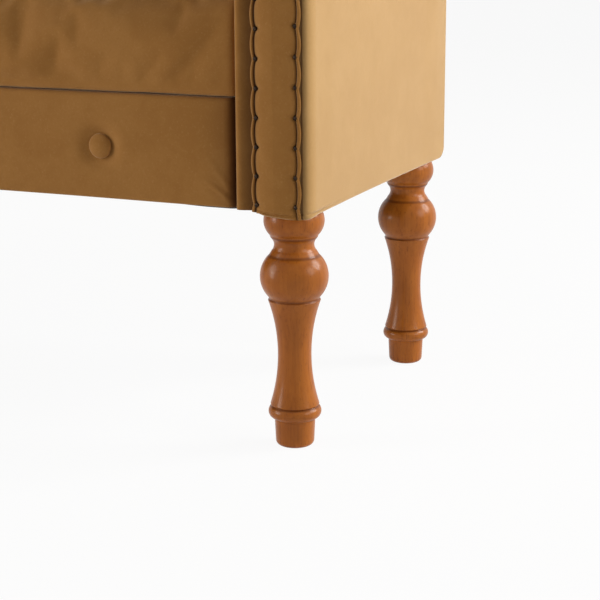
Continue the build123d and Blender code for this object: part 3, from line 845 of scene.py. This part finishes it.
def outerPart():
    # plan line from behind the facing round the soft front edge, along the side and round the rear edge,
    # carried down a section of inset and height
    side, front, rearEdge, turn = bench["side"], bench["returnFront"], outer["rearEdge"], outer["rearTurn"]
    corner, deep = outer["cornerX"], outer["cornerDeep"]
    low, fold, skin, hem = bench["bottom"], outer["fold"], outer["skin"], outer["hem"]
    fineZ = low + 14
    height = np.concatenate([np.linspace(outer["top"], fineZ, 60), np.linspace(fineZ, low + fold, 22)[1:]])
    face = spread(0.0, height)
    bend = quarterTurn(7)[1:]
    under = spread(fold * (1 - np.cos(bend)), low + fold * (1 - np.sin(bend)))
    inner = np.array([(hem, low), (hem, low + skin), (fold, low + skin), (skin, low + fold)])
    rise = spread(skin, np.linspace(low + 12, outer["top"], 12))
    section = np.concatenate([face, under, inner, rise])
    inset, z = section[None, :, 0], section[None, :, 1]

    angle = quarterTurn(30)[:, None]
    full = outer["bulge"] * (0.3 + 0.7 * smooth(outer["top"] - 6, outer["top"] - 60, z))
    corner = corner - outer["bulge"] + full
    wide = side + full - corner
    leadX = np.linspace(0, 1, 16)[:-1, None]
    lead = outer["start"] + (corner - outer["start"]) * leadX, front + 0.6 + 0 * leadX + 0 * z
    edge = corner + wide * np.sin(angle), front + 0.6 + deep * (1 - np.cos(angle)) + 0 * z
    longRun = np.linspace(front + deep + 0.6, outer["fineFrom"], 90)[1:]
    runY = np.concatenate([longRun, np.linspace(outer["fineFrom"], rearEdge - turn, 24)[1:]])[:, None]
    near, far = outer["taper"]
    run = side + full * np.clip((far - runY) / (far - near), 0, 1) ** 1.2, runY + 0 * z
    rearAngle = quarterTurn(8)[1:, None]
    rearX = side - turn * (1 - np.cos(rearAngle)) + 0 * z
    tail = rearX, rearEdge - turn * (1 - np.sin(rearAngle)) + 0 * z
    x, y = (np.concatenate([part[k] for part in (lead, edge, run, tail)]) for k in range(2))
    onLead, onRun = 0 * lead[0], 0 * run[0]
    normalX = np.concatenate([onLead, np.sin(angle) * deep + 0 * z, onRun + 1, np.cos(rearAngle) + 0 * z])
    normalY = np.concatenate([onLead - 1, -np.cos(angle) * wide, onRun, np.sin(rearAngle) + 0 * z])
    size = np.hypot(normalX, normalY)
    # painted shade: a dark line behind the facing's hem edge, where the gap lies in shade, and darker where
    # the soft front edge turns to face the front
    shade = 0.9 * bell(x - facing["outer"] - facing["hemSwell"] + 0.3, 1.1) * (y < front + 4)
    shade = np.maximum(shade, 0.34 * np.clip(-normalY / size, 0, 1) ** 1.5)

    # the lower rear corner is rounded, and the front one hangs a little
    radius = outer["rearRound"]
    fromRear = np.clip(y - (rearEdge - radius), 0, radius - 0.01)
    lift = radius - np.sqrt(radius**2 - fromRear**2)
    z = z + lift * smooth(low + 60, low, z)
    fall = outer["droop"] * smooth(front + 26, front, y) + outer["rearFall"] * smooth(-100, 190, y)
    z = z - fall * smooth(low + 14, low, z)
    flat = smooth(front + deep, front + 60, y) * smooth(rearEdge, rearEdge - 40, y)
    bow = outer["bow"] * flat * np.sin(np.pi * np.clip((z - low) / (outer["top"] - low), 0, 1))
    # painted shade along the crease just above the folded lower edge, which is also pressed in
    hemLine = bell(z - low - 3.6, 1.0) * smooth(-110, -195, y) * (inset < fold)
    shade = np.maximum(shade, 0.3 * hemLine)
    inset = inset + 0.8 * hemLine
    x = x - normalX / size * inset + bow
    y = y - normalY / size * inset
    # the top stays under the roll
    reach = np.clip(np.abs(x - rollX), 0, bench["rollRadius"] - 1)
    ceiling = rollZ - np.sqrt(bench["rollRadius"] ** 2 - reach**2) + 3.0
    return tube(spread(x, y, np.minimum(z, ceiling))), shade


outerShape, outerShade = outerPart()
addPair("armSide", [outerShape], litSideLook, ["outer_arm_cover"], outerShade)
print("arm covers: 4")


def joins(inner, outerX, radius, out):
    # where the uprights meet the roll, as heights and angles, on the line moved out
    innerX, rightX, big = inner - out, outerX + out, radius + out
    left = rollZ - np.sqrt(np.maximum(big**2 - (rollX - innerX) ** 2, 0))
    right = rollZ - np.sqrt(np.maximum(big**2 - (rightX - rollX) ** 2, 0))
    first = np.arctan2(left - rollZ - 1e-9, innerX - rollX)
    last = np.arctan2(right - rollZ - 1e-9, rightX - rollX)
    return left, right, first, 2 * np.pi + first - last


uprights = np.concatenate([np.linspace(0, 0.036, 13)[:-1], np.linspace(0.036, 1, 150)])
headShare = np.linspace(0, 1, 120)[1:-1]


def outlineRings(shape, out):
    # rings round the arm's end: up the inner side, round the roll and down the outer side, each moved out by
    # its own amount
    innerX, outerX, radius, bottom = (shape[key] for key in ("inner", "outer", "radius", "bottom"))
    left, right, first, sweep = joins(innerX, outerX, radius, out)
    up, down = uprights[None, :], uprights[None, ::-1]
    n, h = len(uprights), len(headShare)
    outUp, outHead, outDown = out[:, :n], out[:, n : n + h], out[:, n + h :]
    upX, upZ = innerX - outUp + 0 * up, bottom + (left[:, :n] - bottom) * up
    angle = first[:, n : n + h] - sweep[:, n : n + h] * headShare[None, :]
    headX = rollX + (radius + outHead) * np.cos(angle)
    headZ = rollZ + (radius + outHead) * np.sin(angle)
    downX, downZ = outerX + outDown + 0 * down, bottom + (right[:, n + h :] - bottom) * down
    return np.concatenate([upX, headX, downX], 1), np.concatenate([upZ, headZ, downZ], 1)


def endDisc(rings, height):
    # what is left inside the head: rings drawn in to the roll's centre
    share = np.linspace(1, 0, 8)[:, None]
    x = rollX + (rings[0] - rollX) * share
    z = rollZ + (rings[1] - rollZ) * share
    grid = spread(x, height, z)
    return grid.reshape(-1, 3), quads(*grid.shape[:2]).tolist()


def closedPanel(x, y, z, baseY):
    # the rings as one sheet, closed at its two lower ends, with a disc in the head in front and behind
    rows, cols = x.shape
    ends = [list(range(0, rows * cols, cols)), list(range(cols - 1, rows * cols, cols))]
    sheet = spread(x, y, z).reshape(-1, 3), quads(rows, cols).tolist() + ends
    n = len(uprights)
    around = slice(n - 1, n + len(headShare) + 1)
    ring = x[-1:, around], z[-1:, around]
    return [sheet, endDisc(ring, y[-1, n]), endDisc(ring, baseY)]


def nailSteps():
    # how far along the nail line each sample lies, counted in nails
    left, right, _, _ = joins(facing["inner"], facing["outer"], facing["radius"], 0.0)
    upSteps, headSteps, downSteps = facing["steps"]
    low, bottom = facing["firstNail"], facing["bottom"]
    upStep = (bottom + (left - bottom) * uprights - low) / (left - low) * upSteps
    downStep = (bottom + (right - bottom) * uprights[::-1] - low) / (right - low) * downSteps
    total = upSteps + headSteps + downSteps
    return np.concatenate([upStep, upSteps + headShare * headSteps, total - downStep])


def facingPart():
    # hem and crease wander with a sine of the nail count; the panel rises from the crease by an exponential
    # of the distance to its edge, and is drawn in by a bell at each nail
    f = facing
    step = nailSteps()
    wave = np.abs(np.sin(np.pi * step))
    hem = f["hemPinch"] + (f["hemSwell"] - f["hemPinch"]) * wave**0.8
    crease = f["creaseIn"] + (f["creaseOut"] - f["creaseIn"]) * wave**0.55
    middle = -(f["outer"] - f["inner"]) / 2
    # across the facing: up the hem's edge, over its roll, down into the crease and up on to the panel
    hemShare = np.linspace(0, 1, 9)[:, None]
    hemOut = hem + (crease - hem) * hemShare
    hemRise = 0.5 + f["hemDepth"] * np.sin(np.pi * np.clip(hemShare * 0.92 + 0.04, 0, 1)) ** 0.75 + 0 * wave
    inShare = np.linspace(0, 1, 26)[1:, None] ** 1.9
    panelOut = crease + (middle - crease) * inShare
    panelX, panelZ = outlineRings(f, panelOut)
    inStem = np.minimum(panelX - f["inner"], f["outer"] - panelX) - np.clip(panelZ - rollZ, 0, None)
    inHead = f["radius"] - np.hypot(panelX - rollX, panelZ - rollZ)
    ease = 14.0 * smooth(0.0, 12.0, np.maximum(inStem, inHead))
    into = crease + (inStem + inHead + np.sqrt((inStem - inHead) ** 2 + ease**2)) / 2
    panelRise = 0.6 + (f["panelDepth"] - 0.6) * (1 - np.exp(-into / f["edge"]))
    panelRise = panelRise + f["puff"] * (1 - np.exp(-into / 9.0))
    nearNail = bell(np.minimum(np.abs(step - np.round(step)) * 27.0, 13.0), 3.2)
    panelRise = panelRise - 1.5 * nearNail * bell(into, 4.5)
    out = np.concatenate([np.full((1, len(step)), middle), hem[None] - 0.4, hemOut, panelOut])
    depth = np.concatenate([np.zeros((2, len(step))), hemRise, panelRise])
    x, z = outlineRings(f, out)
    # the lower edge is folded under: a lip, a crease above it, and the outer corner hangs
    high = z - f["bottom"]
    depth = depth * (1 - 0.50 * bell(high, 0.9) - 0.30 * bell(high - 3.4, 1.0))
    z = z - (f["droop"] * smooth(562, 599, x) - f["rise"] * smooth(568, 551, x)) * smooth(14, 0, high)
    # painted shade in the crease along the nail line
    shade = np.clip(0.8 * bell(out - crease, 0.7) + 0.25 * bell(out - crease, 1.6), 0, 0.9)
    base = bench["returnFront"] - 0.1
    return closedPanel(x, base - depth, z, base), shade


def nailPart():
    # dome head carried round its axis, with a short shank behind it
    angle = quarterTurn(7)
    dome = spread(facing["nailRadius"] * np.sin(angle), facing["nailHeight"] * np.cos(angle))
    shank = np.array([(0.8, -0.2), (0.8, -9.0), (0.0, -9.5)])
    return lathe(np.concatenate([dome, shank]), 20)


def nailPlaces():
    # evenly along each stretch of the nail line
    f = facing
    left, right, first, sweep = joins(f["inner"], f["outer"], f["radius"], 0.0)
    upSteps, headSteps, downSteps = f["steps"]
    upZ = np.linspace(f["firstNail"], left, upSteps + 1)[:-1]
    angle = first - sweep * np.linspace(0, 1, headSteps + 1)
    downZ = np.linspace(right, f["firstNail"], downSteps + 1)[1:]
    headX, headZ = rollX + f["radius"] * np.cos(angle), rollZ + f["radius"] * np.sin(angle)
    x = np.concatenate([np.full(upSteps, f["inner"]), headX, np.full(downSteps, f["outer"])])
    z = np.concatenate([upZ, headZ, downZ])
    return spread(x, bench["returnFront"] - 1.3, z)


facingShape, facingShade = facingPart()
addPair("frontFacing", facingShape, suedeLook, ["front_facing"], facingShade)
nailSpots = nailPlaces()
nailShape = copies(nailPart(), np.repeat(toFront[None], len(nailSpots), 0), nailSpots)
addPair("facingNails", [nailShape], nailLook, ["facing_nails"])
print("facings: 2, nails on each:", len(nailSpots))

# Plain panel on the arm's rear end, its lower edge carried round the rounded frame
rear = {
    "inner": 534.6,
    "outer": 597.2,
    "radius": 59.4,
    "bottom": 246.0,
    "depth": 4.0,
    "edge": 2.6,
    "puff": 0.8,
    "tailY": 188.0,
    "tailRadii": (14.3, 16.4),
}


def rearPart():
    # a flat panel with a quarter-round edge and a low puff, and a strip bent round the frame's lower edge
    edge, rise = rear["edge"], rear["depth"]
    middle = -(rear["outer"] - rear["inner"]) / 2
    bend = quarterTurn(7)
    edgeOut = np.concatenate([[middle, -0.3], -edge * (1 - np.cos(bend)), np.linspace(-4.0, middle, 24)])
    edgeRise = np.concatenate([[0.0, 0.0], rise - edge * (1 - np.sin(bend)), np.full(24, rise)])[:, None]
    out = np.repeat(edgeOut[:, None], 2 * len(uprights) + len(headShare), 1)
    depth = edgeRise + rear["puff"] * smooth(0, 20, -out) * (edgeRise > rise - edge)
    x, z = outlineRings(rear, out)
    angle = quarterTurn(14)
    ring = np.repeat(rear["tailRadii"], len(angle))
    turn = np.concatenate([angle, angle[::-1]])
    tailY, tailZ = rear["tailY"] + ring * np.cos(turn), rear["bottom"] - ring * np.sin(turn)
    tailX = np.linspace(rear["inner"], rear["outer"] - 1.0, 12)[:, None]
    tail = tube(spread(tailX, tailY, tailZ))
    return closedPanel(x, bench["boardBack"] + depth, z, bench["boardBack"]) + [tail]


addPair("rearFacing", rearPart(), suedeLook, ["rear_facing"])
print("rear facings: 2")

# Webbing: flat straps that rise and fall over one another; each way has a count, a pitch and a half length
webbing = {
    "thick": 1.8,
    "width": 50.0,
    "wave": 1.2,
    "z": 331.0,
    "cross": (7, 150.0, 175.0),
    "long": (3, 85.0, 592.0),
}


def strapParts(own, other, sign, alongX):
    # a rounded strip carried along its length, up and down by a cosine of the crossing straps
    count, pitch, reach = own
    otherCount, otherPitch, _ = other
    s = np.linspace(-reach, reach, 260)
    weaveEnd = (otherCount / 2) * otherPitch
    inWeave = smooth(weaveEnd + 20, weaveEnd - 20, np.abs(s))
    middle = (np.arange(count) - (count - 1) / 2) * pitch
    phase = np.pi * (s / otherPitch + (otherCount - 1) / 2)
    half, thick = webbing["width"] / 2, webbing["thick"] / 2
    loopAcross = np.array([-half, -half + 2, 0, half - 2, half, half - 2, 0, -half + 2])
    loopUp = np.array([0, thick, thick, thick, 0, -thick, -thick, -thick])
    parts = []
    for i in range(count):
        rise = webbing["wave"] * sign * (-1) ** i * np.cos(phase) * inWeave
        along, across = np.broadcast_arrays(s[:, None], middle[i] + loopAcross[None])
        z = webbing["z"] + rise[:, None] + loopUp[None]
        parts.append(tube(np.stack((along, across, z) if alongX else (across, along, z), -1)))
    return parts


crossParts = strapParts(webbing["cross"], webbing["long"], 1.0, False)
longParts = strapParts(webbing["long"], webbing["cross"], -1.0, True)
addPiece("crossWebbing", crossParts, juteLook, ["webbing_cross_straps"])
addPiece("longWebbing", longParts, juteLook, ["webbing_long_straps"])

# Cloths: one over the webbing, one under the bench that sags a little between its edges
cloths = {
    "thick": 0.8,
    "sag": 5.0,
    "notch": (545.6, -130.6, 132.6),
    "platformFlat": (1.17, 0.352),
    "dustFlat": (1.147, 0.302),
}


def clothPart(node, sag, notch=None):
    # a flat grid over the node's box, with its corners left out where a notch is given, lowered by a product
    # of sines
    low, high = corners(node)
    reachX, lowY, highY = high[0], low[1], high[1]
    x = np.linspace(-reachX, reachX, 201)
    y = np.linspace(lowY, highY, 61)
    if notch:
        near = np.abs(np.abs(x) - notch[0]) < 4
        x[near] = np.sign(x[near]) * notch[0]
    alongX = np.sin(np.pi * (x + reachX) / (2 * reachX))[:, None]
    alongY = np.sin(np.pi * (y - lowY) / (highY - lowY))[None]
    z = low[2] + 0.5 - sag * np.clip(alongX * alongY, 0, 1) ** 0.6
    points = spread(x[:, None], y[None], z).reshape(-1, 3)
    faces = quads(len(x), len(y))
    if notch:
        centre = points[faces].mean(1)
        outside = (np.abs(centre[:, 0]) > notch[0]) & ((centre[:, 1] < notch[1]) | (centre[:, 1] > notch[2]))
        faces = faces[~outside]
    # points that no face uses are left out
    used = np.unique(faces)
    number = np.zeros(len(points), int)
    number[used] = np.arange(len(used))
    return points[used], number[faces].tolist()


def addCloth(name, part, material, stands, area):
    # the sheet gets its thickness on both sides
    cloth = addPiece(name, [part], material, stands)
    wall = cloth.modifiers.new("thickness", "SOLIDIFY")
    wall.thickness, wall.offset = cloths["thick"] * mm, 0.0


addCloth(
    "platformCloth", clothPart("platform_cloth", 0.0), platformLook, ["platform_cloth"],
    None,
)
# the notched sheet's area: the full middle and the two narrower ends
dustLow, dustHigh = corners("dust_cover")
notchX, notchFront, notchBack = cloths["notch"]
middleArea = 2 * notchX * (dustHigh[1] - dustLow[1])
endArea = 2 * (dustHigh[0] - notchX) * (notchBack - notchFront)
addCloth(
    "dustCloth", clothPart("dust_cover", cloths["sag"], cloths["notch"]), dustLook,
    ["dust_cover"], (middleArea + endArea) * mm * mm,
)
print("webbing and cloths done")

# Finishes of the hidden frame's own nodes
frameLooks = {
    "arm_inner_panel": hardboardLook,
    "arm_outer_board": hardboardLook,
    "leg_hanger_bolts": steelLook,
    "leg_inserts": steelLook,
    "arm_board_screws": steelLook,
}
for name, node in nodes.items():
    if node.hide_render:
        continue
    look = next((look for start, look in frameLooks.items() if name.startswith(start)), railLook)
    for place in node.material_slots:
        place.material = look

# Floor: pale, with the shadow kept, and white to the eye behind the bench
studio = {"floor": (0.86, 0.88), "floorWhite": 0.93, "floorReach": 9.0, "sky": 0.14}


def floorLook():
    # a matte floor, mixed with plain white for the rays that see the background
    g = Graph("paleFloor")
    dark, light = (colour(grey, grey, grey) for grey in studio["floor"])
    tone = g.blend(g.noise(g.place(), 2.0, 2.0), dark, light)
    matte = g.node("ShaderNodeBsdfDiffuse", None, {"Color": tone})
    white = g.node("ShaderNodeEmission", None, {"Color": colour(1, 1, 1), "Strength": 1.0})
    seen = g.node("ShaderNodeMixShader", None, {0: g.shownRays() * studio["floorWhite"], 1: matte, 2: white})
    g.node("ShaderNodeOutputMaterial", None, {"Surface": seen})
    return g.material


floorMesh = bpy.data.meshes.new("floor")
reach = studio["floorReach"]
floorCorners = [(-reach, -reach, 0), (reach, -reach, 0), (reach, reach, 0), (-reach, reach, 0)]
floorMesh.from_pydata(floorCorners, [], [(0, 1, 2, 3)])
floorMesh.materials.append(floorLook())
floor = bpy.data.objects.new("floor", floorMesh)
bpy.context.scene.collection.objects.link(floor)

g = Graph("studioSky", bpy.data.worlds.new("studioSky"))
strength = g.node("ShaderNodeMapRange", None, {0: g.shownRays(), 3: studio["sky"], 4: 1.0})
sky = g.node("ShaderNodeBackground", None, {"Color": colour(1, 1, 1), "Strength": strength})
g.node("ShaderNodeOutputWorld", None, {"Surface": sky})
bpy.context.scene.world = g.material

# Lamps: a strong soft one and a weaker one on the right, two at the front left.
# Each has a place, a target, a size, watts and a tint
lamps = {
    "keyRight": ((2.88, 1.42, 1.75), (0.6, 0.0, 0.25), 1.6, 81.0, (1.0, 0.98, 0.95)),
    "sideRight": ((3.2, -0.28, 1.30), (0.6, -0.1, 0.25), 1.4, 24.0, (1.0, 0.98, 0.96)),
    "fillLeft": ((-2.15, -1.55, 1.35), (0.5, -0.2, 0.2), 1.6, 30.0, (1.0, 0.96, 0.90)),
    "lowLeft": ((-1.75, -1.70, 0.50), (0.5, -0.2, 0.2), 1.0, 15.0, (1.0, 0.97, 0.92)),
}
for name, (place, target, size, watts, tint) in lamps.items():
    light = bpy.data.lights.new(name, "AREA")
    light.shape, light.size, light.energy, light.color = "DISK", size, watts, tint
    holder = bpy.data.objects.new(name, light)
    holder.location = place
    holder.rotation_euler = (Vector(target) - Vector(place)).to_track_quat("-Z", "Y").to_euler()
    bpy.context.scene.collection.objects.link(holder)

# Camera at the photograph's place, looking at the lower right corner
eye = {
    "place": (1.1547, -1.4986, 0.5011),
    "forward": (-0.38353, 0.89238, -0.23784),
    "right": (0.91915, 0.39388, -0.00434),
    "lens": 96.0,
    "sensor": 36.0,
}
camera = bpy.data.objects.new("camera", bpy.data.cameras.new("camera"))
camera.data.lens, camera.data.sensor_width = eye["lens"], eye["sensor"]
camera.data.dof.use_dof = False
forward = Vector(eye["forward"]).normalized()
rightward = (Vector(eye["right"]) - forward * forward.dot(Vector(eye["right"]))).normalized()
upward = rightward.cross(forward)
camera.matrix_world = Matrix([
    (rightward[k], upward[k], -forward[k], eye["place"][k]) for k in range(3)
] + [(0, 0, 0, 1)])
bpy.context.scene.collection.objects.link(camera)
bpy.context.scene.camera = camera
bpy.context.scene.view_settings.view_transform = "Standard"

bpy.context.view_layer.update()
